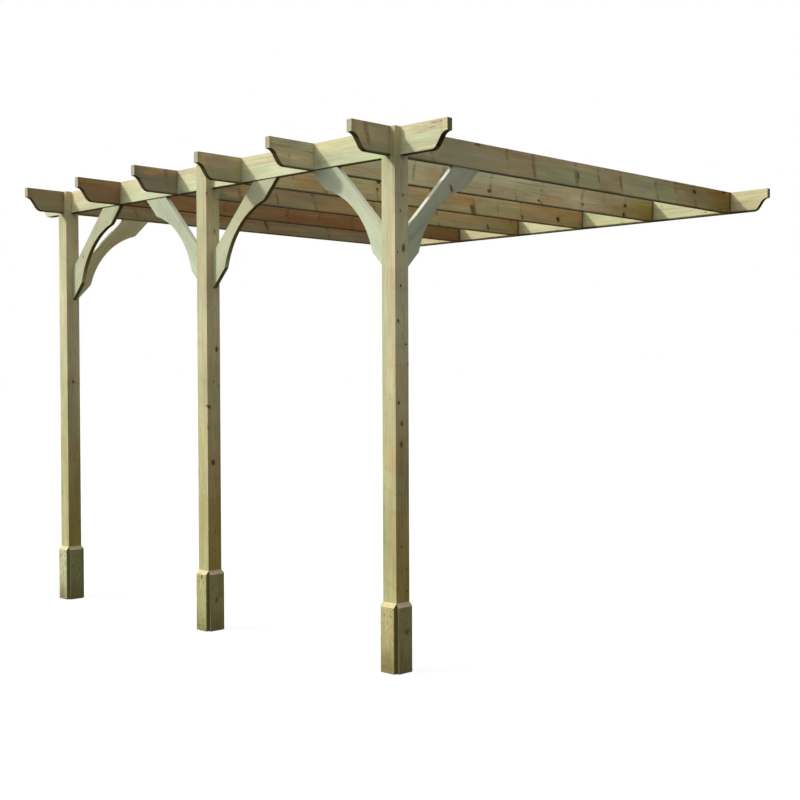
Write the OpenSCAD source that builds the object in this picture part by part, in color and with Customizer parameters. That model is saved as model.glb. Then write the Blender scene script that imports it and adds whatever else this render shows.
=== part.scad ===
// Wall-mounted timber pergola: three posts, a front beam, rafters and a wall beam.
// X runs along the beams with the right-hand end at +X, +Y points at the wall and +Z is up.
// The origin is on the back face of the wall beam, in the middle of its length and depth.

/* [Layout] */
// Spacing of the posts, centre to centre
post_spacing = 1490; // [1000:10:2400]
// Front face of the posts to the inner face of the wall beam
post_to_wall = 3155; // [2000:5:4500]
// Height of the top of the beams above the ground
top_height = 2630; // [2100:10:3000]

/* [Timber sections] */
// Side of the square posts
post_w = 90; // [80:1:120]
// Depth of the beams, rafters and brace planks
board_d = 138; // [110:1:160]
// Thickness of the beams and rafters
board_t = 33; // [28:1:36]
// Thickness of the knee braces
brace_t = 26; // [20:1:28]

/* [Post tops] */
// Thickness of the front cheek that is left above the shoulder
cheek_t = 40; // [30:1:44]
// Total clearance across each slot and halving
joint_gap = 1; // [0.5:0.1:2]

/* [Shaped ends] */
// Front beam past the centres of the outer posts
beam_overhang = 350; // [240:5:500]
// Wall beam past the centres of the outer posts
wall_beam_overhang = 280; // [240:5:500]
// Rafters past the front faces of the posts
rafter_overhang = 255; // [200:5:500]
// Height of the plain end face above the ogee
nose_h = 58; // [40:1:80]
// Length of the ogee along the board
ogee_run = 112; // [95:1:140]
// Steepest slope of the ogee, in degrees
ogee_slope = 55; // [45:1:70]

/* [Knee braces] */
// Reach of the back edge from the inner corner, along the post and the beam
brace_leg = 365; // [300:5:450]
// Length of the scoop along the inner edge
scoop_chord = 484; // [380:5:560]
// Depth of the scoop
scoop_depth = 66; // [40:1:80]

/* [Post bases] */
// Height of the base boards at the post
base_h = 340; // [250:1:500]
// Thickness of the base boards
base_t = 18; // [15:1:35]
// Drop of the bevel from the post to the outer face
base_bevel = 21; // [10:1:30]

/* [Hidden] */
// Count of rafters, the outer ones on the outer posts
rafter_count = 6;
rafter_pitch = 2 * post_spacing / (rafter_count - 1);

// Levels
top_z = board_d / 2;
under_z = -board_d / 2;
ground_z = top_z - top_height;

// Depths, from the wall outwards
wall_face_y = -board_t;
post_front_y = wall_face_y - post_to_wall;
post_back_y = post_front_y + post_w;
beam_front_y = post_front_y + cheek_t;
beam_back_y = beam_front_y + board_t;
beam_mid_y = (beam_front_y + beam_back_y) / 2;
rafter_front_y = post_front_y - rafter_overhang;

// Widths of the cuts that take a board
slot_w = board_t + joint_gap;

// Ogee of two equal arcs, level at both ends, with a straight between them where the slope leaves room
ogee_drop = board_d - nose_h;
ogee_angle = min(ogee_slope, 2 * atan(ogee_drop / ogee_run));
ogee_r = (ogee_run * sin(ogee_angle) - ogee_drop * cos(ogee_angle)) / (2 * (1 - cos(ogee_angle)));
ogee_steps = 10;

// Scooped inner edge of the braces
brace_reach = brace_leg + board_d * sqrt(2);
scoop_r = (pow(scoop_chord / 2, 2) + pow(scoop_depth, 2)) / (2 * scoop_depth);

// Places of the repeated pieces, left to right
POSTS = [["left_post", -post_spacing], ["middle_post", 0], ["right_post", post_spacing]];
SIDES = [["front", 0], ["right", 90], ["back", 180], ["left", 270]];
BEAM_BRACES = [
    ["left_beam_brace", -post_spacing, 1],
    ["middle_beam_brace_left", 0, -1],
    ["middle_beam_brace_right", 0, 1],
    ["right_beam_brace", post_spacing, -1]
];
RAFTER_BRACES = [["left_rafter_brace", -post_spacing], ["right_rafter_brace", post_spacing]];

POST_COLOUR = "#a39a6a";
BEAM_COLOUR = "#d9d0a0";
RAFTER_COLOUR = "#b7a878";
BRACE_COLOUR = "#b4b894";
BASE_COLOUR = "#958d5c";

function rafter_x(i) = (i - (rafter_count + 1) / 2) * rafter_pitch;

// Points of the ogee from the underside up to the nose, for a board that ends at x = 0
function ogee_points() = concat(
    [for (k = [0 : ogee_steps])
        let (a = ogee_angle * k / ogee_steps)
        [-ogee_run + ogee_r * sin(a), ogee_r * (1 - cos(a))]],
    [for (k = [0 : ogee_steps])
        let (a = ogee_angle * (1 - k / ogee_steps))
        [-ogee_r * sin(a), ogee_drop - ogee_r * (1 - cos(a))]]
);

function shifted(points, x) = [for (p = points) [p[0] + x, p[1]]];
function flipped(points) = [for (k = [len(points) - 1 : -1 : 0]) [-points[k][0], points[k][1]]];

// Outline of a board with an ogee at each end, its underside on y = 0
module beam_outline(half_length) {
    polygon(concat(
        shifted(ogee_points(), half_length),
        [[half_length, board_d], [-half_length, board_d]],
        shifted(flipped(ogee_points()), -half_length)
    ));
}

// Outline of a board that runs from a square back end at x = 0 to an ogee at x = length
module rafter_outline(length) {
    polygon(concat(
        [[0, 0]],
        shifted(ogee_points(), length),
        [[length, board_d], [0, board_d]]
    ));
}

// Board of the given outline along X, from its front face at y backwards
module along_x(y, thickness) {
    translate([0, y + thickness, under_z])
        rotate([90, 0, 0])
            linear_extrude(thickness) children();
}

// Board of the given outline that runs forwards from the wall beam, centred on x
module forwards(x, thickness) {
    translate([x + thickness / 2, wall_face_y, under_z])
        rotate([90, 0, -90])
            linear_extrude(thickness) children();
}

// Square post with a shoulder for the front beam and a cheek in front of it.
// An outer post's cheek is slotted down to the shoulder, so a rafter passes between two horns.
module post(x, slotted) {
    color(POST_COLOUR)
        translate([x, post_front_y, 0])
            difference() {
                translate([-post_w / 2, 0, ground_z]) cube([post_w, post_w, top_height]);
                translate([-post_w, cheek_t, under_z]) cube([2 * post_w, post_w, 2 * board_d]);
                if (slotted)
                    translate([-slot_w / 2, -post_w, under_z]) cube([slot_w, 2 * post_w, 2 * board_d]);
            }
}

// One of the four boards round the foot of a post, bevelled up to the post
module base_board(x, turn) {
    color(BASE_COLOUR)
        translate([x, post_front_y + post_w / 2, ground_z])
            rotate([0, 0, turn])
                translate([-post_w / 2, -post_w / 2, 0])
                    rotate([90, 0, 90])
                        linear_extrude(post_w)
                            polygon([[0, 0], [0, base_h], [-base_t, base_h - base_bevel], [-base_t, 0]]);
}

// Front beam, halved from above for each rafter
module front_beam() {
    color(BEAM_COLOUR)
        difference() {
            along_x(beam_front_y, board_t) beam_outline(post_spacing + beam_overhang);
            for (i = [1 : rafter_count])
                translate([rafter_x(i) - slot_w / 2, beam_front_y - board_t, 0])
                    cube([slot_w, 3 * board_t, board_d]);
        }
}

// Beam on the wall, plain between its shaped ends
module wall_beam() {
    color(BEAM_COLOUR)
        along_x(wall_face_y, board_t) beam_outline(post_spacing + wall_beam_overhang);
}

// Rafter from the wall beam to its shaped front end, halved from below over the front beam
module rafter(i) {
    color(RAFTER_COLOUR)
        difference() {
            forwards(rafter_x(i), board_t) rafter_outline(wall_face_y - rafter_front_y);
            translate([rafter_x(i) - board_t, beam_mid_y - slot_w / 2, -board_d])
                cube([2 * board_t, slot_w, board_d]);
        }
}

// Plank across the corner of a post (x = 0) and a beam (y = 0), mitred to both and scooped inside
module brace_outline() {
    mid = brace_reach / 2;
    out = (scoop_r - scoop_depth) / sqrt(2);
    difference() {
        polygon([[brace_leg, 0], [0, -brace_leg], [0, -brace_reach], [brace_reach, 0]]);
        translate([mid + out, -mid - out]) circle(r = scoop_r, $fn = 96);
    }
}

// Brace under the front beam, to the right of its post for side = 1
module beam_brace(x, side) {
    color(BRACE_COLOUR)
        translate([x + side * post_w / 2, beam_mid_y + brace_t / 2, under_z])
            rotate([90, 0, 0])
                linear_extrude(brace_t)
                    mirror([side < 0 ? 1 : 0, 0, 0]) brace_outline();
}

// Brace under an outer rafter, behind its post
module rafter_brace(x) {
    color(BRACE_COLOUR)
        translate([x - brace_t / 2, post_back_y, under_z])
            rotate([90, 0, 90])
                linear_extrude(brace_t) brace_outline();
}

for (p = POSTS)
    post(p[1], p[1] != 0);
for (p = POSTS, s = SIDES)
    base_board(p[1], s[1]);
front_beam();
wall_beam();
for (i = [1 : rafter_count])
    rafter(i);
for (b = BEAM_BRACES)
    beam_brace(b[1], b[2]);
for (b = RAFTER_BRACES)
    rafter_brace(b[1]);
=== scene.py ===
# Looks of the wall-mounted timber pergola: treated softwood, eased arrises and nailed post bases.
# Metres throughout: +X runs along the beams, +Y points at the wall and +Z is up.

import math
import random
from types import SimpleNamespace

import bpy
from mathutils import Euler, Matrix, Vector


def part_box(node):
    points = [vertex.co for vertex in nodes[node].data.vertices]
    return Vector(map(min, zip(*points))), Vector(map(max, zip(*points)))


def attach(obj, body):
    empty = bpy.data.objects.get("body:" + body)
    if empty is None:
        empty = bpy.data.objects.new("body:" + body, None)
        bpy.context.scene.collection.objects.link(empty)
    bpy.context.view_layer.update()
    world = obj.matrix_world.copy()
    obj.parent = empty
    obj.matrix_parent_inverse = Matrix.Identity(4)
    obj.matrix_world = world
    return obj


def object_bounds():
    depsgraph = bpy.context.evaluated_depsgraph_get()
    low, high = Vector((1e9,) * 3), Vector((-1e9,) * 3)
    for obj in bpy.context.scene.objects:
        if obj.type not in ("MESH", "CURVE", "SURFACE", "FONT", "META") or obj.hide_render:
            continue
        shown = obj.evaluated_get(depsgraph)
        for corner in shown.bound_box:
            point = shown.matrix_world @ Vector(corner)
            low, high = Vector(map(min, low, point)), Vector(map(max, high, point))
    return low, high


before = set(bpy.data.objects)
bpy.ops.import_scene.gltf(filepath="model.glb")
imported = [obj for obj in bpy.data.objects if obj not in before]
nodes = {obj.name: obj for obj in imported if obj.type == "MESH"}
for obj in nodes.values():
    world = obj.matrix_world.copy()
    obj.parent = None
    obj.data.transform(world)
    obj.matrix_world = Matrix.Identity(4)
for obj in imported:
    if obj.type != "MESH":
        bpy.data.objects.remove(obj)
cad_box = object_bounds()

X_AXIS = Vector((1, 0, 0))
Y_AXIS = Vector((0, 1, 0))
Z_AXIS = Vector((0, 0, 1))
DIAGONAL_UP_RIGHT = (X_AXIS + Z_AXIS).normalized()
DIAGONAL_UP_LEFT = (Z_AXIS - X_AXIS).normalized()
DIAGONAL_UP_BACK = (Y_AXIS + Z_AXIS).normalized()

# Camera at the photograph's viewing angle
CAMERA_PLACE = (5.7992, -7.4771, -1.1315)
CAMERA_YAW = math.radians(44.633)
CAMERA_PITCH = math.radians(-1.053)
CAMERA_ROLL = math.radians(-0.221)
CAMERA_LENS_MM = 56.855
CAMERA_SENSOR_MM = 36.0

# Light
SUN_TRAVEL = Vector((0.95, 1.35, -1.00))
SUN_STRENGTH = 1.97
SUN_ANGLE = math.radians(4.5)
FRONT_TRAVEL = Vector((0.50, 0.75, -0.75))
FRONT_STRENGTH = 1.05
FRONT_ANGLE = math.radians(50.0)
BACK_TRAVEL = Vector((0.45, -1.00, -0.60))
BACK_STRENGTH = 1.0
BACK_ANGLE = math.radians(30.0)
SKY_STRENGTH = 0.60
SKY_COLOUR = (0.97, 0.99, 1.0, 1.0)
WHITE = (1.0, 1.0, 1.0, 1.0)
FLOOR_BOUNCE = (0.015, 0.015, 0.013, 1.0)
FLOOR_GLOW = 0.86
FLOOR_SHADE = (0.17, 0.17, 0.17, 1.0)
FLOOR_REACH = 150.0

# Arrises
ARRIS_WIDTH = 0.0030
ARRIS_SEGMENTS = 2
ARRIS_ANGLE = math.radians(32.0)
FACET_ANGLE = math.radians(20.0)
ARRIS_SLOT = 1
# Lightening of the arrises: partly wear, partly a painted highlight
WEAR_AND_HIGHLIGHT_GAIN = 1.30
ARRIS_ROUGHNESS = 0.62
RUBBED_ROUGHNESS = 0.25
ARRIS_RELIEF_STRENGTH = 0.4
ARRIS_RELIEF_HEIGHT = 0.0006

# Nails in the base boards, with the head's profile in shares of its radius and height
NAIL_HEAD_R = 0.0046
NAIL_HEAD_H = 0.0010
NAIL_PROFILE = ((1.0, -0.5), (1.0, 0.45), (0.90, 0.85), (0.62, 1.0))
NAIL_SIDES = 20
NAIL_FROM_MIDDLE = 0.022
NAIL_BELOW_TOP = 0.060
NAIL_ABOVE_GROUND = 0.030
NAIL_STRAY = 0.003
NAIL_LEAN = 0.07
NAIL_DARK = (0.12, 0.105, 0.038, 1.0)
NAIL_PALE = (0.25, 0.225, 0.10, 1.0)
NAIL_METALLIC = 0.3
NAIL_ROUGHNESS = 0.40
SPANGLE_ROUGHNESS = 0.30
NAIL_RELIEF_STRENGTH = 0.5
NAIL_RELIEF_HEIGHT = 0.0003

# Noises, with features per metre through a board, across it and along its grain
SWAY = {"stretch": (2.5, 2.5, 0.9), "detail": 1.0}
RIPPLE = {"stretch": (24, 24, 5), "detail": 2.0}
UNEVEN_RINGS = {"stretch": (5, 5, 1.2), "detail": 1.0}
BAND_PATCHES = {"stretch": (16, 16, 3), "detail": 2.0}
RAGGED = {"stretch": (30, 30, 6), "detail": 3.0, "roughness": 0.65}
HEART_WANDER = {"stretch": (7, 7, 1.6), "detail": 3.0}
CLOUDS = {"stretch": (9, 9, 2.2), "detail": 3.0, "roughness": 0.6}
BLOTCHES = {"stretch": (13, 13, 2.6), "detail": 4.0, "roughness": 0.6}
FIBRES = {"stretch": (620, 620, 9), "detail": 3.0, "roughness": 0.65}
STREAKS = {"stretch": (95, 95, 2.2), "detail": 3.0, "roughness": 0.6}
PORES = {"stretch": (420, 420, 420), "detail": 2.0}
CHECK_LINES = {"stretch": (70, 70, 0.9), "detail": 2.0, "roughness": 0.45}
CHECK_PLACES = {"stretch": (9, 9, 1.1), "detail": 1.0}
SPECKS = {"stretch": (160, 160, 60), "detail": 4.0, "roughness": 0.7}
MOULD = {"stretch": (85, 85, 40), "detail": 5.0, "roughness": 0.72}
RUBBING = {"stretch": (38, 38, 38), "detail": 4.0, "roughness": 0.65}
FINE_GRAIN = {"stretch": (700, 700, 700), "detail": 2.0}
SPANGLE = {"stretch": (900, 900, 900), "detail": 3.0}

# How far a seed of 1 moves a member through the noises
SEED_SPREAD = (1.0, 0.7, 1.9)

# Growth of the trunk: how far the grain strays, the rings and the heartwood
SWAY_REACH = 0.045
RIPPLE_REACH = 0.008
RING_WIDTH = 0.0032
RING_DRIFT = 3.0
HEART_STRAY = 0.09
HEART_BLUR = 0.014

# Branches, which grow in rings along the trunk, called whorls, with a dark band at each
BRANCHES = 5
BRANCH_CLIMB = 0.35
LEAST_BRANCH = 0.28
WHORL_BEAT = 2.1
WHORL_SHIFT = 0.20
WHORL_TURN = 7.31
WHORL_RAGGED = 0.55
BAND_EDGE = 0.022
BAND_CORE = 0.003
BAND_POWER = 2.5

# Knots that the branches leave: sizes, and how far they push the rings aside
KNOT_RADIUS = 0.020
PIN_KNOT_RADIUS = 0.0006
KNOT_ARC_RADIUS = 0.06
KNOT_STRAY = 0.05
KNOT_PUSH = 0.006
PITH_REACH = 0.03

# Shape of a knot, in shares of its radius, and of a branch, in shares of its thickness and reach
KNOT_OVAL = 0.75
KNOT_EDGE = 1.10
KNOT_CORE = 0.70
RIM_REACH = 1.40
HALO_REACH = 3.6
PITH_THINNESS = 0.4
KNOT_LEAST_REACH = 0.55
KNOT_FADE = 0.65

# Strengths of what shows in the timber
SEGMENT_SHIFT = 0.34
CLOUD_DEPTH = 0.70
LATEWOOD_DEPTH = 0.60
END_LATEWOOD_DEPTH = 0.80
FIBRE_DEPTH = 0.45
STREAK_DEPTH = 0.60
HALO_DEPTH = 0.30
RIM_DEPTH = 0.50
CORE_DEPTH = 0.90
CHECK_DEPTH = 0.75
PORE_DEPTH = 0.30
# Painted shade on faces turned down
UNDER_SHADE_DEPTH = 0.90
GREY_DEPTH = 0.75
NOSE_DEPTH = 0.80
# Painted shade in the band where a rafter meets the wall beam
JUNCTION_SHADE_DEPTH = 0.80
# Painted shade along lower edges, weaker on the rafters
LOWER_EDGE_SHADE_DEPTH = 0.92
RAFTER_LOWER_EDGE_SHADE_LOSS = 0.32
# Painted highlight on the braces' upward back edges
PAINTED_HIGHLIGHT_DEPTH = 0.80
MOULD_DEPTH = 0.58
DAMP_DEPTH = 0.55
# Painted shade on the narrow edges of the base boards
EDGE_SHADE_DEPTH = 0.70

# Weather and painted shade: how far each mark reaches on a board, and where it is full
GREY_CORE_SHARE = 0.35
NOSE_REACH = 0.040
SOAK_REACH = 0.80
SOAK_CORE = 0.02
# Painted shade: the dark band where a rafter meets the wall beam
JUNCTION_SHADE_REACH = 0.026
JUNCTION_SHADE_CORE = 0.008
# Painted shade: the dark line along a board's lower edge
LOWER_EDGE_SHADE_CORE_SHARE = 0.5
LOWER_EDGE_SHADE_STRAY = 0.010
FOOT_TOP = 2.0
FOOT_CORE = 0.25
DAMP_HEIGHT = 0.16
DAMP_STRAY = 0.20

# Soft steps: where each mark sets in and where it is full, in the noise or direction that it follows
BAND_PATCH_STEP = (0.40, 0.62)
LATEWOOD_STEP = (0.45, 0.90)
EARLYWOOD_STEP = (1.0, 0.93)
GREEN_STEP = (0.48, 0.74)
BROWN_STEP = (0.50, 0.25)
KNOT_TONE_STEP = (0.35, 0.90)
PORE_STEP = (0.52, 0.75)
CHECK_LINE_STEP = (0.010, 0.004)
CHECK_PLACE_STEP = (0.60, 0.68)
END_STEP = (0.45, 0.80)
UPPER_STEP = (0.55, 0.95)
UNDER_SHADE_STEP = (-0.15, -0.60)
SPECK_STEP = (0.35, 0.70)
SPECK_RANGE = (0.35, 0.80)
PAINTED_HIGHLIGHT_STEP = (0.45, 0.65)
GREY_PATCH_STEP = (0.32, 0.55)
AVERTED_SHADE_STEP = (0.2, 0.8)
MOULD_STEP = (0.46, 0.70)
EDGE_SHADE_STEP = (0.60, 0.90)
RUBBED_STEP = (0.40, 0.66)
SPANGLE_STEP = (0.35, 0.65)

# Finish: gloss, and the relief of rings, fibres, knots, checks and pores
TIMBER_SPECULAR = 0.04
LEAST_ROUGHNESS = 0.66
FIBRE_ROUGHNESS = 0.24
KNOT_ROUGHNESS = -0.14
RING_RELIEF = 0.40
FIBRE_RELIEF = 0.55
KNOT_RELIEF = 0.45
CHECK_RELIEF = -1.4
PORE_RELIEF = 0.5
RELIEF_STRENGTH = 0.55
RELIEF_HEIGHT = 0.0009

# Tints and colours of the marks
KNOT_DARK = (0.065, 0.048, 0.024, 1.0)
KNOT_WARM = (0.21, 0.155, 0.080, 1.0)
LATEWOOD_TINT = (0.82, 0.73, 0.56, 1.0)
GREEN_TINT = (0.88, 0.99, 0.86, 1.0)
BROWN_TINT = (0.97, 0.83, 0.69, 1.0)
# Painted shade below: tints for undersides, for the undersides of sawn ends and for lower arrises
UNDER_SHADE_TINT = (0.45, 0.36, 0.13, 1.0)
UNDER_END_SHADE_TINT = (0.13, 0.11, 0.02, 1.0)
UNDER_ARRIS_SHADE_TINT = (0.20, 0.155, 0.05, 1.0)
SOAK_TINT = (0.55, 0.45, 0.20, 1.0)
NOSE_TINT = (0.78, 0.80, 0.50, 1.0)
FOOT_TINT = (0.82, 0.83, 0.66, 1.0)
# Painted shade at the post's foot, on the faces turned away from the sun
PAINTED_SHADE_FOOT_TINT = (0.53, 0.46, 0.22, 1.0)
WHORL_TINT = (0.56, 0.52, 0.42, 1.0)
# Painted highlight colour
PAINTED_HIGHLIGHT_COLOUR = (0.84, 0.81, 0.66, 1.0)
# Dark of checks and pores, also painted shade where a rafter meets the wall beam
CHECK_AND_SHADE_COLOUR = (0.10, 0.075, 0.04, 1.0)
# Painted shade along lower edges
LOWER_EDGE_SHADE_COLOUR = (0.040, 0.026, 0.006, 1.0)
GREY_COLOUR = (0.40, 0.39, 0.32, 1.0)
# Mould and damp, also painted shade on the base boards' narrow edges
DAMP_AND_SHADE_COLOUR = (0.135, 0.122, 0.045, 1.0)

# Reach of a rafter from its middle to its nose and to the wall
RAFTER_HALF_LENGTH = (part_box("rafter_1")[1].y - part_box("rafter_1")[0].y) / 2


class Graph:
    """A node tree with short calls for the nodes that are used here."""

    def __init__(self, tree):
        self.tree = tree
        tree.nodes.clear()

    def feed(self, socket, value):
        """Links a socket, or sets its own value."""
        if isinstance(value, bpy.types.NodeSocket):
            self.tree.links.new(value, socket)
        else:
            socket.default_value = value

    def node(self, kind, inputs=None, **settings):
        """A node of that kind with its settings and its inputs by name or number."""
        made = self.tree.nodes.new(kind)
        for name, value in settings.items():
            setattr(made, name, value)
        for key, value in (inputs or {}).items():
            self.feed(made.inputs[key], value)
        return made

    def math(self, operation, *values, clamp=False):
        """One step of arithmetic on numbers."""
        made = self.node("ShaderNodeMath", operation=operation, use_clamp=clamp)
        for socket, value in zip(made.inputs, values):
            self.feed(socket, value)
        return made.outputs[0]

    def product(self, first, *others):
        """The product of numbers."""
        for other in others:
            first = self.math("MULTIPLY", first, other)
        return first

    def varied(self, base, noise, reach):
        """The base, moved by up to half the reach either way as the noise goes from 0 to 1."""
        return self.math("MULTIPLY_ADD", self.math("SUBTRACT", noise, 0.5), reach, base)

    def smooth(self, value, low, high, to_low=0.0, to_high=1.0):
        """A soft step of the value from low to high."""
        made = self.node("ShaderNodeMapRange", interpolation_type="SMOOTHSTEP")
        for socket, part in zip(made.inputs, (value, low, high, to_low, to_high)):
            self.feed(socket, part)
        return made.outputs[0]

    def vector(self, operation, *values):
        """One step of arithmetic on vectors."""
        made = self.node("ShaderNodeVectorMath", operation=operation)
        for socket, value in zip(made.inputs, values):
            self.feed(socket, value)
        return made.outputs["Value" if operation == "LENGTH" else "Vector"]

    def scaled(self, vector, factor):
        """The vector or colour times a number."""
        made = self.node("ShaderNodeVectorMath", {"Vector": vector, "Scale": factor}, operation="SCALE")
        return made.outputs["Vector"]

    def split(self, vector):
        """The three parts of a vector."""
        return self.node("ShaderNodeSeparateXYZ", {0: vector}).outputs

    def joined(self, x, y, z):
        """A vector of three parts."""
        return self.node("ShaderNodeCombineXYZ", {0: x, 1: y, 2: z}).outputs[0]

    def mix(self, factor, first, second, blend="MIX"):
        """A mix of two colours, by the node's colour sockets: inputs 6 and 7, and output 2."""
        inputs = {0: factor, 6: first, 7: second}
        made = self.node("ShaderNodeMix", inputs, data_type="RGBA", blend_type=blend)
        return made.outputs[2]

    def tinted(self, factor, colour, tint):
        """The colour times a tint, as far as the factor goes."""
        return self.mix(factor, colour, tint, "MULTIPLY")

    def noise(self, place, stretch, detail=3.0, roughness=0.55):
        """Noise whose scale differs along each direction."""
        stretched = self.vector("MULTIPLY", place, stretch)
        inputs = {"Vector": stretched, "Scale": 1.0, "Detail": detail, "Roughness": roughness}
        return self.node("ShaderNodeTexNoise", inputs).outputs

    def bump(self, strength, distance, height):
        """The normal of a surface with that relief."""
        inputs = {"Strength": strength, "Distance": distance, "Height": height}
        return self.node("ShaderNodeBump", inputs).outputs[0]

    def surface(self, inputs):
        """Ends a material in a principled surface."""
        made = self.node("ShaderNodeBsdfPrincipled", inputs)
        self.node("ShaderNodeOutputMaterial", {"Surface": made.outputs[0]})


GROUP_INPUTS = (
    ("Place", "NodeSocketVector"),
    ("Face", "NodeSocketVector"),
    ("Up", "NodeSocketFloat"),
    ("Height", "NodeSocketFloat"),
    ("Sap", "NodeSocketColor"),
    ("Heart", "NodeSocketColor"),
    ("End", "NodeSocketColor"),
    ("Pith", "NodeSocketVector"),
    ("Heart Radius", "NodeSocketFloat"),
    ("Whorl Step", "NodeSocketFloat"),
    ("Knot Size", "NodeSocketFloat"),
    ("Knot Reach", "NodeSocketFloat"),
    ("Seed", "NodeSocketFloat"),
    ("Stain", "NodeSocketFloat"),
    ("Figure", "NodeSocketFloat"),
    ("Grey", "NodeSocketColor"),
    ("Grey Reach", "NodeSocketFloat"),
    ("Damp And Edge Shade", "NodeSocketFloat"),
    ("Soak", "NodeSocketFloat"),
    ("Lower Edge Shade", "NodeSocketFloat"),
    ("Foot", "NodeSocketFloat"),
    ("Painted Highlight Edge", "NodeSocketFloat"),
)
GROUP_OUTPUTS = (
    ("Colour", "NodeSocketColor"),
    ("Roughness", "NodeSocketFloat"),
    ("Normal", "NodeSocketVector"),
)


def follow_grain(g, given, place):
    """Distance from the pith, turn about it and place along it, with the grain swaying a little."""
    bent = given["Place"]
    for noise, reach in ((SWAY, SWAY_REACH), (RIPPLE, RIPPLE_REACH)):
        shift = g.vector("SUBTRACT", g.noise(place, **noise)["Color"], (0.5, 0.5, 0.5))
        bent = g.vector("ADD", bent, g.scaled(shift, reach))
    about_pith = g.vector("SUBTRACT", bent, given["Pith"])
    across, over, along = g.split(about_pith)
    radius = g.vector("LENGTH", g.vector("MULTIPLY", about_pith, (1, 1, 0)))
    return radius, g.math("ARCTAN2", over, across), along


def find_knots(g, given, place, radius, turn, along):
    """Branches in whorls along the trunk, which climb as they run out from the pith."""
    seed, step = given["Seed"], given["Whorl Step"]
    climbed = g.math("MULTIPLY_ADD", radius, -BRANCH_CLIMB, along)
    level = g.math("ADD", g.math("DIVIDE", climbed, step), seed)
    beat = g.math("SINE", g.math("MULTIPLY", level, WHORL_BEAT))
    level = g.math("MULTIPLY_ADD", beat, WHORL_SHIFT, level)
    whorl = g.math("ROUND", level)
    rise = g.math("MULTIPLY", g.math("SUBTRACT", level, whorl), step)

    # The nearest branch of the whorl, each with its own size, tone and lift
    spoke = g.math("MULTIPLY_ADD", whorl, WHORL_TURN, seed)
    spoke = g.math("MULTIPLY_ADD", turn, BRANCHES / math.tau, spoke)
    branch = g.node(
        "ShaderNodeTexVoronoi",
        {"W": spoke, "Scale": 1.0, "Randomness": 1.0},
        voronoi_dimensions="1D",
    ).outputs
    size, tone, lift = g.split(branch["Color"])
    reach = g.math("MULTIPLY_ADD", tone, 1.0 - KNOT_LEAST_REACH, KNOT_LEAST_REACH)
    reach = g.math("MULTIPLY", given["Knot Reach"], reach)
    grown = g.smooth(radius, 0.0, PITH_REACH, to_low=PITH_THINNESS)
    grown = g.math("MULTIPLY", grown, g.smooth(radius, reach, g.math("MULTIPLY", reach, KNOT_FADE)))
    thick = g.math("MAXIMUM", g.math("SUBTRACT", size, LEAST_BRANCH), 0.0)
    thick = g.product(thick, given["Knot Size"], grown)
    thick = g.math("MULTIPLY_ADD", thick, KNOT_RADIUS, PIN_KNOT_RADIUS)
    sideways = g.math("MULTIPLY", branch["Distance"], math.tau / BRANCHES * KNOT_ARC_RADIUS)
    upward = g.math("MULTIPLY", g.varied(rise, lift, KNOT_STRAY), KNOT_OVAL)
    distance = g.vector("LENGTH", g.joined(sideways, upward, 0.0))

    # Dark bands at the whorls, and a number for each stretch between two of them
    patchy = g.smooth(g.noise(place, **BAND_PATCHES)["Fac"], *BAND_PATCH_STEP)
    band = g.math("MULTIPLY", g.smooth(g.math("ABSOLUTE", rise), BAND_EDGE, BAND_CORE), patchy)
    ragged = g.varied(level, g.noise(place, **RAGGED)["Fac"], WHORL_RAGGED)
    segment = g.node(
        "ShaderNodeTexWhiteNoise",
        {"W": g.math("ADD", g.math("FLOOR", ragged), seed)},
        noise_dimensions="1D",
    ).outputs["Value"]
    return SimpleNamespace(
        core=g.smooth(distance, g.math("MULTIPLY", thick, KNOT_EDGE), g.math("MULTIPLY", thick, KNOT_CORE)),
        rim=g.smooth(distance, g.math("MULTIPLY", thick, RIM_REACH), thick),
        halo=g.smooth(distance, g.math("MULTIPLY", thick, HALO_REACH), thick),
        tone=tone,
        band=band,
        segment=segment,
    )


def latewood(g, place, radius, knots):
    """Dark outer parts of the growth rings, pushed aside by the knots."""
    pushed = g.math("MULTIPLY_ADD", knots.halo, KNOT_PUSH, radius)
    uneven = g.noise(place, **UNEVEN_RINGS)["Fac"]
    rings = g.math("MULTIPLY_ADD", uneven, RING_DRIFT, g.math("DIVIDE", pushed, RING_WIDTH))
    phase = g.math("FRACT", rings)
    return g.math("MULTIPLY", g.smooth(phase, *LATEWOOD_STEP), g.smooth(phase, *EARLYWOOD_STEP))


def heart_and_sap(g, given, place, radius, blotch, knots):
    """Warm heartwood round the pith and greener sapwood, stained unevenly between the whorls."""
    edge = g.varied(radius, g.noise(place, **HEART_WANDER)["Fac"], HEART_STRAY)
    inner = g.math("SUBTRACT", given["Heart Radius"], HEART_BLUR)
    outer = g.math("ADD", given["Heart Radius"], HEART_BLUR)
    colour = g.mix(g.smooth(edge, inner, outer), given["Heart"], given["Sap"])
    patch = g.varied(blotch, knots.segment, SEGMENT_SHIFT)
    green = g.math("MULTIPLY", g.smooth(patch, *GREEN_STEP), given["Stain"])
    brown = g.math("MULTIPLY", g.smooth(patch, *BROWN_STEP), given["Stain"])
    colour = g.tinted(green, colour, GREEN_TINT)
    colour = g.tinted(brown, colour, BROWN_TINT)
    return g.scaled(colour, g.varied(1.0, g.noise(place, **CLOUDS)["Fac"], CLOUD_DEPTH))


def lined(g, given, place, colour, late, fibre):
    """The colour with its latewood lines, fibres and long streaks."""
    colour = g.tinted(g.product(late, given["Figure"], LATEWOOD_DEPTH), colour, LATEWOOD_TINT)
    streak = g.noise(place, **STREAKS)["Fac"]
    tone = g.varied(1.0, fibre, FIBRE_DEPTH)
    tone = g.varied(tone, streak, g.math("MULTIPLY", given["Figure"], STREAK_DEPTH))
    return g.scaled(colour, tone)


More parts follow.
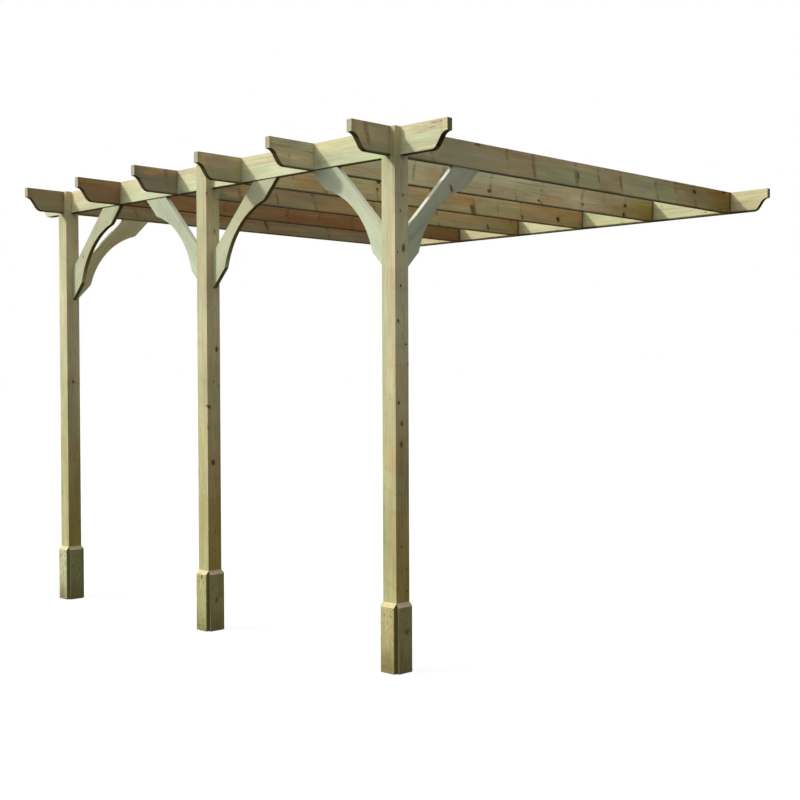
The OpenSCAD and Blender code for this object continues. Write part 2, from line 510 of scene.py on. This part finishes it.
def knotted(g, given, colour, knots):
    """The colour with its knots, each with a dark rim, and the darker bands at the whorls."""
    band = g.math("MULTIPLY", knots.band, g.math("POWER", given["Stain"], BAND_POWER))
    colour = g.tinted(band, colour, WHORL_TINT)
    colour = g.tinted(g.math("MULTIPLY", knots.halo, HALO_DEPTH), colour, BROWN_TINT)
    colour = g.mix(g.math("MULTIPLY", knots.rim, RIM_DEPTH), colour, KNOT_DARK)
    knot_colour = g.mix(g.smooth(knots.tone, *KNOT_TONE_STEP), KNOT_DARK, KNOT_WARM)
    return g.mix(g.math("MULTIPLY", knots.core, CORE_DEPTH), colour, knot_colour)


def sawn_end(g, given, late, pores):
    """The colour of a sawn end, with its rings and a little grime."""
    colour = g.tinted(g.math("MULTIPLY", late, END_LATEWOOD_DEPTH), given["End"], LATEWOOD_TINT)
    return g.mix(g.smooth(pores, *PORE_STEP, to_high=PORE_DEPTH), colour, CHECK_AND_SHADE_COLOUR)


def drying_checks(g, place):
    """Thin splits along the grain, in a few places."""
    line = g.math("SUBTRACT", g.noise(place, **CHECK_LINES)["Fac"], 0.5)
    thin = g.smooth(g.math("ABSOLUTE", line), *CHECK_LINE_STEP)
    where = g.smooth(g.noise(place, **CHECK_PLACES)["Fac"], *CHECK_PLACE_STEP)
    return g.math("MULTIPLY", thin, where)


def painted_shade_below(g, up, colour, tint):
    """The colour with painted shade on undersides: browner and darker as a face turns down."""
    return g.tinted(g.smooth(up, *UNDER_SHADE_STEP, to_high=UNDER_SHADE_DEPTH), colour, tint)


def weathered_above(g, given, place, colour, side):
    """The colour with upper faces gone grey, and with a painted highlight on the braces' upward back edges.
    """
    specks = g.smooth(g.noise(place, **SPECKS)["Fac"], *SPECK_STEP, *SPECK_RANGE)
    upper = g.product(g.smooth(given["Up"], *UPPER_STEP), specks, side)
    colour = g.mix(upper, colour, GREY_COLOUR)
    # Painted highlight on the braces' upward back edges
    pale = g.smooth(given["Up"], *PAINTED_HIGHLIGHT_STEP, to_high=PAINTED_HIGHLIGHT_DEPTH)
    return g.mix(g.product(pale, given["Painted Highlight Edge"], side), colour, PAINTED_HIGHLIGHT_COLOUR)


def weathered_ends(g, given, colour, blotch, is_rafter):
    """The colour with a rafter grey towards its nose, olive at the nose and damp towards the wall, and
    painted shade in a dark band where it meets the wall beam.
    """
    along = g.split(given["Place"])[2]
    from_nose = g.math("ADD", along, RAFTER_HALF_LENGTH)
    grey_core = g.math("MULTIPLY", given["Grey Reach"], GREY_CORE_SHARE)
    grey = g.smooth(from_nose, given["Grey Reach"], grey_core, to_high=GREY_DEPTH)
    grey = g.product(grey, g.smooth(blotch, *GREY_PATCH_STEP), is_rafter)
    colour = g.mix(grey, colour, given["Grey"])
    nose = g.smooth(from_nose, NOSE_REACH, 0.0, to_high=NOSE_DEPTH)
    colour = g.tinted(g.math("MULTIPLY", nose, is_rafter), colour, NOSE_TINT)
    from_wall = g.math("SUBTRACT", RAFTER_HALF_LENGTH, along)
    soaked = g.math("MULTIPLY", g.smooth(from_wall, SOAK_REACH, SOAK_CORE), given["Soak"])
    colour = g.tinted(soaked, colour, SOAK_TINT)
    # Painted shade: a dark band at the rafter's end against the wall beam
    damp_and_shade = g.smooth(from_wall, JUNCTION_SHADE_REACH, JUNCTION_SHADE_CORE, to_high=JUNCTION_SHADE_DEPTH)
    return g.mix(g.math("MULTIPLY", damp_and_shade, is_rafter), colour, CHECK_AND_SHADE_COLOUR)


def lower_edge_painted_shade(g, given, colour, blotch, is_rafter):
    """The colour with a dark line along the lower edge: painted shade for the dark underside beneath it,
    weaker on the rafters.
    """
    above = g.varied(given["Height"], blotch, LOWER_EDGE_SHADE_STRAY)
    edge_shade = g.smooth(above, given["Lower Edge Shade"], g.math("MULTIPLY", given["Lower Edge Shade"], LOWER_EDGE_SHADE_CORE_SHARE))
    depth = g.math("MULTIPLY_ADD", is_rafter, -RAFTER_LOWER_EDGE_SHADE_LOSS, LOWER_EDGE_SHADE_DEPTH)
    return g.mix(g.math("MULTIPLY", edge_shade, depth), colour, LOWER_EDGE_SHADE_COLOUR)


def yellowed_foot_and_painted_shade(g, given, colour):
    """The colour with the post's foot yellower, and painted shade on its faces turned away from the sun."""
    across, over, _ = g.split(given["Face"])
    averted_painted_shade = g.smooth(g.math("ADD", across, over), *AVERTED_SHADE_STEP)
    low = g.math("MULTIPLY", g.smooth(given["Height"], FOOT_TOP, FOOT_CORE), given["Foot"])
    return g.tinted(low, colour, g.mix(averted_painted_shade, FOOT_TINT, PAINTED_SHADE_FOOT_TINT))


def grime_and_edge_shade(g, given, place, colour, blotch, side):
    """The colour with mould and damp from the ground on the boards round the feet, and painted shade on
    their narrow edges.
    """
    mould = g.smooth(g.noise(place, **MOULD)["Fac"], *MOULD_STEP)
    colour = g.mix(g.product(mould, given["Damp And Edge Shade"], side, MOULD_DEPTH), colour, DAMP_AND_SHADE_COLOUR)
    damp_and_shade = g.varied(given["Height"], blotch, DAMP_STRAY)
    damp = g.product(g.smooth(damp_and_shade, DAMP_HEIGHT, 0.0), given["Damp And Edge Shade"], DAMP_DEPTH)
    # Painted shade on the boards' narrow edges, in the corners round the post
    edge = g.smooth(g.math("ABSOLUTE", g.split(given["Face"])[1]), *EDGE_SHADE_STEP)
    edge = g.product(edge, given["Damp And Edge Shade"], EDGE_SHADE_DEPTH)
    return g.mix(g.math("MAXIMUM", damp, edge), colour, DAMP_AND_SHADE_COLOUR)


def timber_group():
    """Softwood in a board's own directions: X through its thickness, Y across it and Z along the grain."""
    tree = bpy.data.node_groups.new("timber", "ShaderNodeTree")
    g = Graph(tree)
    for name, kind in GROUP_INPUTS:
        tree.interface.new_socket(name, in_out="INPUT", socket_type=kind)
    for name, kind in GROUP_OUTPUTS:
        tree.interface.new_socket(name, in_out="OUTPUT", socket_type=kind)
    given = g.node("NodeGroupInput").outputs
    place = g.vector("ADD", given["Place"], g.scaled(SEED_SPREAD, given["Seed"]))

    # What grew and split in the timber
    radius, turn, along = follow_grain(g, given, place)
    knots = find_knots(g, given, place, radius, turn, along)
    late = latewood(g, place, radius, knots)
    fibre = g.noise(place, **FIBRES)["Fac"]
    blotch = g.noise(place, **BLOTCHES)["Fac"]
    pores = g.noise(place, **PORES)["Fac"]
    check = drying_checks(g, place)
    end = g.smooth(g.math("ABSOLUTE", g.split(given["Face"])[2]), *END_STEP)
    side = g.math("SUBTRACT", 1.0, end)

    # Colour of the timber, then of what weather and water did to it, and the painted shade and painted
    # highlights
    colour = heart_and_sap(g, given, place, radius, blotch, knots)
    colour = lined(g, given, place, colour, late, fibre)
    colour = knotted(g, given, colour, knots)
    colour = g.mix(end, colour, sawn_end(g, given, late, pores))
    colour = g.mix(g.math("MULTIPLY", check, CHECK_DEPTH), colour, CHECK_AND_SHADE_COLOUR)
    colour = weathered_above(g, given, place, colour, side)
    is_rafter = g.math("GREATER_THAN", given["Soak"], 0.0)
    marked = weathered_ends(g, given, colour, blotch, is_rafter)
    marked = lower_edge_painted_shade(g, given, marked, blotch, is_rafter)
    colour = g.mix(end, marked, colour)
    colour = yellowed_foot_and_painted_shade(g, given, colour)
    colour = grime_and_edge_shade(g, given, place, colour, blotch, side)
    # Painted shade on faces turned down, darker still on sawn ends
    colour = painted_shade_below(g, given["Up"], colour, g.mix(side, UNDER_END_SHADE_TINT, UNDER_SHADE_TINT))

    roughness = g.math("MULTIPLY_ADD", fibre, FIBRE_ROUGHNESS, LEAST_ROUGHNESS)
    roughness = g.math("MULTIPLY_ADD", knots.core, KNOT_ROUGHNESS, roughness, clamp=True)

    # Raised grain and fibres, slightly proud knots, sunken checks and open pores
    height = 0.0
    for part, relief in (
        (late, RING_RELIEF),
        (fibre, FIBRE_RELIEF),
        (knots.core, KNOT_RELIEF),
        (check, CHECK_RELIEF),
        (g.math("MULTIPLY", pores, end), PORE_RELIEF),
    ):
        height = g.math("MULTIPLY_ADD", part, relief, height)

    made = g.node("NodeGroupOutput")
    g.feed(made.inputs["Colour"], colour)
    g.feed(made.inputs["Roughness"], roughness)
    g.feed(made.inputs["Normal"], g.bump(RELIEF_STRENGTH, RELIEF_HEIGHT, height))
    return tree


TIMBER = timber_group()


def new_material(name):
    """A node material and its empty graph."""
    material = bpy.data.materials.new(name)
    material.use_nodes = True
    return material, Graph(material.node_tree)


def board_turn(grain, thickness):
    """The turn from the row frame to a board's own directions."""
    width = grain.cross(thickness)
    return Matrix((thickness, width, grain))


def timber_material(name, box, turn, look):
    """The timber of one member, which lies in that box."""
    material, g = new_material(name)
    low, high = box
    centre = turn @ ((low + high) / 2)
    angles = turn.to_euler("XYZ")
    coords = g.node("ShaderNodeTexCoord").outputs
    place = g.node(
        "ShaderNodeMapping",
        {"Vector": coords["Object"], "Location": -centre, "Rotation": angles},
        vector_type="POINT",
    )
    face = g.node(
        "ShaderNodeMapping",
        {"Vector": coords["Normal"], "Rotation": angles},
        vector_type="VECTOR",
    )
    timber = g.node("ShaderNodeGroup", node_tree=TIMBER)
    g.feed(timber.inputs["Place"], place.outputs[0])
    g.feed(timber.inputs["Face"], face.outputs[0])
    g.feed(timber.inputs["Up"], g.split(coords["Normal"])[2])
    g.feed(timber.inputs["Height"], g.math("SUBTRACT", g.split(coords["Object"])[2], low.z))
    for key, value in look.items():
        g.feed(timber.inputs[key], value)
    g.surface(
        {
            "Base Color": timber.outputs["Colour"],
            "Roughness": timber.outputs["Roughness"],
            "Normal": timber.outputs["Normal"],
            "Specular IOR Level": TIMBER_SPECULAR,
        }
    )
    return material


def arris_material(name, colour, under_shade_tint):
    """Rubbed timber along the arrises of one kind of member: lighter partly from wear and partly as a
    painted highlight, with painted shade below.
    """
    material, g = new_material(name)
    coords = g.node("ShaderNodeTexCoord").outputs
    rubbed = g.noise(coords["Object"], **RUBBING)["Fac"]
    worn_and_highlit = tuple(min(1.0, WEAR_AND_HIGHLIGHT_GAIN * part) for part in colour[:3]) + (1.0,)
    tint = g.mix(g.smooth(rubbed, *RUBBED_STEP), colour, worn_and_highlit)
    tint = painted_shade_below(g, g.split(coords["Normal"])[2], tint, under_shade_tint)
    fine = g.noise(coords["Object"], **FINE_GRAIN)["Fac"]
    g.surface(
        {
            "Base Color": tint,
            "Roughness": g.math("MULTIPLY_ADD", rubbed, RUBBED_ROUGHNESS, ARRIS_ROUGHNESS),
            "Normal": g.bump(ARRIS_RELIEF_STRENGTH, ARRIS_RELIEF_HEIGHT, fine),
            "Specular IOR Level": TIMBER_SPECULAR,
        }
    )
    return material


def smoothing_group():
    """Smooth shading over the small facets of curved cuts, with sharp shading at every real edge."""
    tree = bpy.data.node_groups.new("smooth_facets", "GeometryNodeTree")
    tree.interface.new_socket("Geometry", in_out="INPUT", socket_type="NodeSocketGeometry")
    tree.interface.new_socket("Geometry", in_out="OUTPUT", socket_type="NodeSocketGeometry")
    g = Graph(tree)
    mesh = g.node("NodeGroupInput").outputs[0]
    rounded = g.node("GeometryNodeSetShadeSmooth", {"Geometry": mesh, "Shade Smooth": True}, domain="FACE")
    angle = g.node("GeometryNodeInputMeshEdgeAngle").outputs["Unsigned Angle"]
    sharp = g.node(
        "FunctionNodeCompare",
        {0: angle, 1: FACET_ANGLE},
        data_type="FLOAT",
        operation="GREATER_THAN",
    )
    edged = g.node(
        "GeometryNodeSetShadeSmooth",
        {"Geometry": rounded.outputs[0], "Selection": sharp.outputs[0], "Shade Smooth": False},
        domain="EDGE",
    )
    g.node("NodeGroupOutput", {0: edged.outputs[0]})
    return tree


SMOOTHING = smoothing_group()


def smooth_facets(piece):
    """Shades a piece smooth over its small facets."""
    smooth = piece.modifiers.new("smooth_facets", "NODES")
    smooth.node_group = SMOOTHING


def ease_arrises(member, worn_and_highlit):
    """Takes the sharpness off a member's edges and gives them the rubbed finish, partly wear and partly a
    painted highlight.
    """
    member.data.materials.append(worn_and_highlit)
    bevel = member.modifiers.new("arrises", "BEVEL")
    bevel.width = ARRIS_WIDTH
    bevel.segments = ARRIS_SEGMENTS
    bevel.limit_method = "ANGLE"
    bevel.angle_limit = ARRIS_ANGLE
    bevel.material = ARRIS_SLOT
    bevel.use_clamp_overlap = True
    smooth_facets(member)


def tones(sap, heart, end):
    """The colours of a member's sapwood, heartwood and sawn ends, as seen in plain light."""
    return {"Sap": (*sap, 1.0), "Heart": (*heart, 1.0), "End": (*end, 1.0)}


# Tones of the members, and of the sawn ends that several share
BEVEL_END = (0.90, 0.79, 0.51)
# Painted shade: the beams' sawn ends face away from the sun and take a darker copy of the end tone
PAINTED_SHADE_BEAM_END = (0.24, 0.215, 0.12)
BRACE_END = (0.58, 0.57, 0.41)
RAFTER_END = (0.55, 0.52, 0.38)
POST_TONES = tones((0.67, 0.64, 0.395), (0.67, 0.60, 0.38), (0.55, 0.50, 0.32))
BASE_TONES = tones((0.545, 0.505, 0.25), (0.56, 0.50, 0.245), BEVEL_END)
PALE_BASE_TONES = tones((0.66, 0.635, 0.38), (0.66, 0.62, 0.36), BEVEL_END)
# Painted shade: the right-hand boards and their bevels face away from the sun and take darker copies of the
# base tones
PAINTED_SHADE_BASE_TONES = tones((0.34, 0.33, 0.155), (0.35, 0.315, 0.15), (0.76, 0.68, 0.50))
BEAM_TONES = tones((0.715, 0.745, 0.475), (0.785, 0.72, 0.455), PAINTED_SHADE_BEAM_END)
WALL_TONES = tones((0.70, 0.695, 0.435), (0.70, 0.665, 0.40), PAINTED_SHADE_BEAM_END)
BLUE_BRACE_TONES = tones((0.60, 0.655, 0.475), (0.63, 0.655, 0.45), BRACE_END)
OLIVE_BRACE_TONES = tones((0.58, 0.59, 0.385), (0.60, 0.575, 0.36), BRACE_END)
NEAR_BRACE_TONES = tones((0.54, 0.555, 0.41), (0.56, 0.54, 0.37), BRACE_END)
# Browner tones, made lighter as painted light for the fill that the far rear brace misses under the rafters
FAR_BRACE_TONES_WITH_PAINTED_LIGHT = tones((0.72, 0.66, 0.41), (0.72, 0.63, 0.38), BRACE_END)
RAFTER_TONES = {
    "rafter_1": tones((0.42, 0.35, 0.20), (0.40, 0.27, 0.14), RAFTER_END),
    "rafter_2": tones((0.41, 0.29, 0.15), (0.41, 0.23, 0.105), RAFTER_END),
    "rafter_3": tones((0.61, 0.525, 0.28), (0.59, 0.43, 0.21), RAFTER_END),
    "rafter_4": tones((0.70, 0.585, 0.315), (0.70, 0.52, 0.27), RAFTER_END),
    # Painted light: rafter_5 takes lighter tones for the fill that its inner face misses under the roof
    "rafter_5": tones((0.80, 0.75, 0.485), (0.80, 0.67, 0.41), RAFTER_END),
    "rafter_6": tones((0.63, 0.56, 0.335), (0.64, 0.505, 0.285), RAFTER_END),
}

# Colour of the arrises of each kind of member, and their painted-shade tint below; the highlit braces take
# the painted-highlight colour for both
ARRISES = {
    "post_timber": (POST_TONES["Sap"], UNDER_ARRIS_SHADE_TINT),
    "base_timber": (BASE_TONES["Sap"], UNDER_ARRIS_SHADE_TINT),
    "beam_timber": (BEAM_TONES["Sap"], UNDER_ARRIS_SHADE_TINT),
    "rafter_timber": (RAFTER_TONES["rafter_1"]["Sap"], UNDER_SHADE_TINT),
    "brace_timber": (OLIVE_BRACE_TONES["Sap"], UNDER_ARRIS_SHADE_TINT),
    # The highlit braces' arrises are a painted highlight, with no shade below
    "highlit_brace": (PAINTED_HIGHLIGHT_COLOUR, PAINTED_HIGHLIGHT_COLOUR),
}

# How each kind of member is cut from the trunk: "pith" is how far the pith lies from its middle at most,
# through and across it, "heart" and "stain" are ranges of the heartwood's radius and the stains' strength,
# "figure" is the strength of the grain, and "knots" are the step from whorl to whorl, size and reach
CUTS = {
    "post_timber": {
        "pith": (0.100, 0.030),
        "heart": (0.095, 0.110),
        "stain": (0.35, 0.55),
        "figure": 1.0,
        "knots": (0.17, 0.60, 0.090),
    },
    "base_timber": {
        "pith": (0.050, 0.060),
        "heart": (0.040, 0.070),
        "stain": (0.60, 0.90),
        "figure": 1.0,
        "knots": (0.45, 0.60, 0.160),
    },
    "beam_timber": {
        "pith": (0.040, 0.060),
        "heart": (0.045, 0.065),
        "stain": (0.55, 0.80),
        "figure": 1.0,
        "knots": (0.40, 0.33, 0.110),
    },
    "rafter_timber": {
        "pith": (0.040, 0.055),
        "heart": (0.035, 0.065),
        "stain": (0.80, 1.00),
        "figure": 1.0,
        "knots": (0.38, 0.85, 0.115),
    },
    "brace_timber": {
        "pith": (0.080, 0.070),
        "heart": (0.030, 0.045),
        "stain": (0.30, 0.50),
        "figure": 0.5,
        "knots": (0.26, 0.55, 0.200),
    },
}

# Chance: the least share of the pith's reach, the range of the seeds and the first member's number
LEAST_PITH = 0.4
SEED_RANGE = 30.0
FIRST_MEMBER_SEED = 100

# Place of the pith in members whose heartwood shows at a known edge
PITHS = {
    "left_post": (0.100, 0.015),
    "middle_post": (0.098, 0.010),
    "right_post": (0.102, 0.005),
    "front_beam": (-0.030, 0.055),
    "rafter_4": (-0.030, -0.025),
    "rafter_5": (-0.032, 0.020),
    "rafter_6": (-0.025, -0.060),
}

# Knots of members that have more than others of their kind
KNOTS = {
    "middle_post": (0.14, 0.80, 0.105),
    "right_post": (0.12, 0.90, 0.115),
    "rafter_4": (0.30, 0.95, 0.150),
    "rafter_5": (0.30, 0.95, 0.150),
    "rafter_6": (0.27, 1.20, 0.170),
    "right_rafter_brace": (0.20, 1.00, 0.200),
}

# Seeds of members whose knots and stains were picked one by one
SEEDS = {
    "front_beam": 25.5,
    "wall_beam": 12.6,
    "rafter_5": 14.3,
    "rafter_6": 5.2,
    "right_rafter_brace": 9.1,
}

# Height of the dark line of painted shade along the lower edge of a board
LOWER_EDGE_SHADES = {"wall_beam": 0.015, "front_beam": 0.005}
RAFTER_LOWER_EDGE_SHADE = 0.008

# The grey that a rafter has gone towards its nose, and how far it reaches
GREYS = {
    "rafter_1": ((0.34, 0.285, 0.165, 1.0), 0.45),
    "rafter_2": ((0.31, 0.225, 0.125, 1.0), 0.45),
    "rafter_3": ((0.22, 0.225, 0.185, 1.0), 1.9),
    "rafter_4": ((0.40, 0.345, 0.235, 1.0), 0.45),
    "rafter_6": ((0.37, 0.365, 0.22, 1.0), 1.3),
}
PLAIN_GREY = ((0.42, 0.39, 0.25, 1.0), 0.45)

# How far each rafter's end has darkened with damp from the wall
SOAKS = {
    "rafter_1": 0.45,
    "rafter_2": 0.40,
    "rafter_3": 0.50,
    "rafter_4": 0.50,
    "rafter_5": 1.0,
    "rafter_6": 1.0,
}


def member_look(name):
    """Grain direction, thickness direction, tones and kind of a member."""
    if "_base_" in name:
        thickness = X_AXIS if name.endswith(("left", "right")) else Y_AXIS
        look = PAINTED_SHADE_BASE_TONES if name.endswith("right") else BASE_TONES
        if name == "left_post_base_front":
            look = PALE_BASE_TONES
        return Z_AXIS, thickness, look, "base_timber"
    if name.endswith("_post"):
        return Z_AXIS, X_AXIS, POST_TONES, "post_timber"
    if name == "front_beam":
        return X_AXIS, Y_AXIS, BEAM_TONES, "beam_timber"
    if name == "wall_beam":
        return X_AXIS, Y_AXIS, WALL_TONES, "beam_timber"
    if name.startswith("rafter_"):
        return Y_AXIS, X_AXIS, RAFTER_TONES[name], "rafter_timber"
    if name.endswith("rafter_brace"):
        look = FAR_BRACE_TONES_WITH_PAINTED_LIGHT if name.startswith("left") else NEAR_BRACE_TONES
        return DIAGONAL_UP_BACK, X_AXIS, look, "brace_timber"
    if name in ("middle_beam_brace_left", "right_beam_brace"):
        return DIAGONAL_UP_LEFT, Y_AXIS, BLUE_BRACE_TONES, "brace_timber"
    return DIAGONAL_UP_RIGHT, Y_AXIS, OLIVE_BRACE_TONES, "brace_timber"


def cut_from_trunk(name, kind, chance):
    """Where the pith, heartwood, knots, stains and marks of a member lie."""
    cut = CUTS[kind]
    through, across = cut["pith"]
    side = chance.choice((-1, 1))
    pith = (side * chance.uniform(LEAST_PITH, 1.0) * through, chance.uniform(-across, across))
    step, size, reach = KNOTS.get(name, cut["knots"])
    grey, grey_reach = GREYS.get(name, PLAIN_GREY)
    return {
        "Pith": PITHS.get(name, pith) + (0.0,),
        "Heart Radius": chance.uniform(*cut["heart"]),
        "Whorl Step": step,
        "Knot Size": size,
        "Knot Reach": reach,
        "Seed": SEEDS.get(name, chance.uniform(0.0, SEED_RANGE)),
        "Stain": chance.uniform(*cut["stain"]),
        "Figure": cut["figure"],
        "Grey": grey,
        "Grey Reach": grey_reach,
        "Damp And Edge Shade": float(kind == "base_timber"),
        "Soak": SOAKS.get(name, 0.0),
        "Lower Edge Shade": LOWER_EDGE_SHADES.get(name, RAFTER_LOWER_EDGE_SHADE if kind == "rafter_timber" else 0.0),
        "Foot": float(kind == "post_timber"),
        "Painted Highlight Edge": float(kind == "brace_timber"),
    }


def dress_members():
    """Gives each CAD member its own timber and eases its arrises."""
    worn_and_highlit = {arris: arris_material(arris + "_arris", *look) for arris, look in ARRISES.items()}
    for place, name in enumerate(sorted(nodes)):
        member = nodes[name]
        grain, thickness, member_tones, kind = member_look(name)
        cut = cut_from_trunk(name, kind, random.Random(FIRST_MEMBER_SEED + place))
        turn = board_turn(grain, thickness)
        timber = timber_material(name + "_timber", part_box(name), turn, {**member_tones, **cut})
        member.data.materials.clear()
        member.data.materials.append(timber)
        arris = "highlit_brace" if member_tones is BLUE_BRACE_TONES else kind
        ease_arrises(member, worn_and_highlit[arris])


def nail_material():
    """Dull steel with a brown bloom of rust."""
    material, g = new_material("nail_steel")
    place = g.node("ShaderNodeTexCoord").outputs["Object"]
    spangle = g.noise(place, **SPANGLE)["Fac"]
    g.surface(
        {
            "Base Color": g.mix(g.smooth(spangle, *SPANGLE_STEP), NAIL_DARK, NAIL_PALE),
            "Roughness": g.math("MULTIPLY_ADD", spangle, SPANGLE_ROUGHNESS, NAIL_ROUGHNESS),
            "Normal": g.bump(NAIL_RELIEF_STRENGTH, NAIL_RELIEF_HEIGHT, spangle),
            "Metallic": NAIL_METALLIC,
        }
    )
    return material


def nail_head(place, outward, lean):
    """Points and faces of one flat nail head, rounded at its rim and driven slightly askew."""
    turn = outward.to_track_quat("Z", "Y").to_matrix() @ Euler((*lean, 0.0)).to_matrix()
    points = []
    for radius_share, height_share in NAIL_PROFILE:
        for step in range(NAIL_SIDES):
            angle = math.tau * step / NAIL_SIDES
            point = NAIL_HEAD_R * radius_share * Vector((math.cos(angle), math.sin(angle), 0.0))
            point.z = NAIL_HEAD_H * height_share
            points.append(place + turn @ point)
    faces = []
    for ring in range(len(NAIL_PROFILE) - 1):
        low, high = ring * NAIL_SIDES, (ring + 1) * NAIL_SIDES
        for step in range(NAIL_SIDES):
            after = (step + 1) % NAIL_SIDES
            faces.append((low + step, low + after, high + after, high + step))
    top = (len(NAIL_PROFILE) - 1) * NAIL_SIDES
    faces.append(tuple(range(top, top + NAIL_SIDES)))
    return points, faces


def base_nails(post, steel, chance):
    """The nails in the four boards round the foot of a post: two above and two below in each."""
    points, faces = [], []
    for side, outward in (("front", -Y_AXIS), ("right", X_AXIS), ("back", Y_AXIS), ("left", -X_AXIS)):
        low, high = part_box(f"{post}_base_{side}")
        middle = (low + high) / 2
        along = Z_AXIS.cross(outward)
        reach = abs((high - low).dot(outward)) / 2
        for level in (low.z + NAIL_ABOVE_GROUND, high.z - NAIL_BELOW_TOP):
            for shift in (-NAIL_FROM_MIDDLE, NAIL_FROM_MIDDLE):
                place = Vector((middle.x, middle.y, level)) + reach * outward
                place += along * (shift + chance.uniform(-NAIL_STRAY, NAIL_STRAY))
                place.z += chance.uniform(-NAIL_STRAY, NAIL_STRAY)
                lean = (chance.uniform(-NAIL_LEAN, NAIL_LEAN), chance.uniform(-NAIL_LEAN, NAIL_LEAN))
                head_points, head_faces = nail_head(place, outward, lean)
                faces += [tuple(corner + len(points) for corner in face) for face in head_faces]
                points += head_points
    mesh = bpy.data.meshes.new(post + "_base_nails")
    mesh.from_pydata(points, [], faces)
    mesh.materials.append(steel)
    nails = bpy.data.objects.new(post + "_base_nails", mesh)
    bpy.context.scene.collection.objects.link(nails)
    smooth_facets(nails)
    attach(nails, "root")


def seen_directly(g):
    """1 for rays that show the background: from the camera, in gloss and through glass."""
    ray = g.node("ShaderNodeLightPath").outputs
    seen = g.math("MAXIMUM", ray["Is Camera Ray"], ray["Is Glossy Ray"])
    return g.math("MAXIMUM", seen, ray["Is Transmission Ray"])


def make_floor():
    """A wide pale floor that keeps a faint shadow."""
    material, g = new_material("floor")
    bounce = g.node("ShaderNodeBsdfDiffuse", {"Color": FLOOR_BOUNCE})
    shade = g.node("ShaderNodeBsdfDiffuse", {"Color": FLOOR_SHADE})
    glow = g.node("ShaderNodeEmission", {"Strength": FLOOR_GLOW})
    pale = g.node("ShaderNodeAddShader", {0: glow.outputs[0], 1: shade.outputs[0]})
    both = g.node("ShaderNodeMixShader", {0: seen_directly(g), 1: bounce.outputs[0], 2: pale.outputs[0]})
    g.node("ShaderNodeOutputMaterial", {"Surface": both.outputs[0]})
    mesh = bpy.data.meshes.new("floor")
    ground = cad_box[0][2]
    signs = ((-1, -1), (1, -1), (1, 1), (-1, 1))
    corners = [(x * FLOOR_REACH, y * FLOOR_REACH, ground) for x, y in signs]
    mesh.from_pydata(corners, [], [(0, 1, 2, 3)])
    mesh.materials.append(material)
    floor = bpy.data.objects.new("floor", mesh)
    bpy.context.scene.collection.objects.link(floor)


def light_scene():
    """A sun from the front left, soft lights from the front and from behind, and a plain sky."""
    for name, travel, strength, angle in (
        ("sun", SUN_TRAVEL, SUN_STRENGTH, SUN_ANGLE),
        ("front_light", FRONT_TRAVEL, FRONT_STRENGTH, FRONT_ANGLE),
        ("back_light", BACK_TRAVEL, BACK_STRENGTH, BACK_ANGLE),
    ):
        lamp = bpy.data.lights.new(name, "SUN")
        lamp.energy = strength
        lamp.angle = angle
        holder = bpy.data.objects.new(name, lamp)
        holder.rotation_euler = travel.to_track_quat("-Z", "Y").to_euler()
        bpy.context.scene.collection.objects.link(holder)
    world = bpy.data.worlds.new("sky")
    world.use_nodes = True
    g = Graph(world.node_tree)
    sky = g.node("ShaderNodeBackground", {"Color": SKY_COLOUR, "Strength": SKY_STRENGTH})
    white = g.node("ShaderNodeBackground", {"Color": WHITE, "Strength": 1.0})
    both = g.node("ShaderNodeMixShader", {0: seen_directly(g), 1: sky.outputs[0], 2: white.outputs[0]})
    g.node("ShaderNodeOutputWorld", {"Surface": both.outputs[0]})
    bpy.context.scene.world = world


def place_camera():
    """The camera at the photograph's viewing angle."""
    lens = bpy.data.cameras.new("camera")
    lens.sensor_fit = "HORIZONTAL"
    lens.sensor_width = CAMERA_SENSOR_MM
    lens.lens = CAMERA_LENS_MM
    camera = bpy.data.objects.new("camera", lens)
    aim = Euler((math.pi / 2 + CAMERA_PITCH, 0.0, CAMERA_YAW)).to_matrix()
    aim = aim @ Matrix.Rotation(CAMERA_ROLL, 3, "Z")
    camera.matrix_world = Matrix.Translation(CAMERA_PLACE) @ aim.to_4x4()
    bpy.context.scene.collection.objects.link(camera)
    bpy.context.scene.camera = camera


dress_members()
nail_steel = nail_material()
for number, post_name in enumerate(("left_post", "middle_post", "right_post")):
    base_nails(post_name, nail_steel, random.Random(number))
make_floor()
light_scene()
place_camera()
bpy.context.scene.view_settings.view_transform = "Standard"
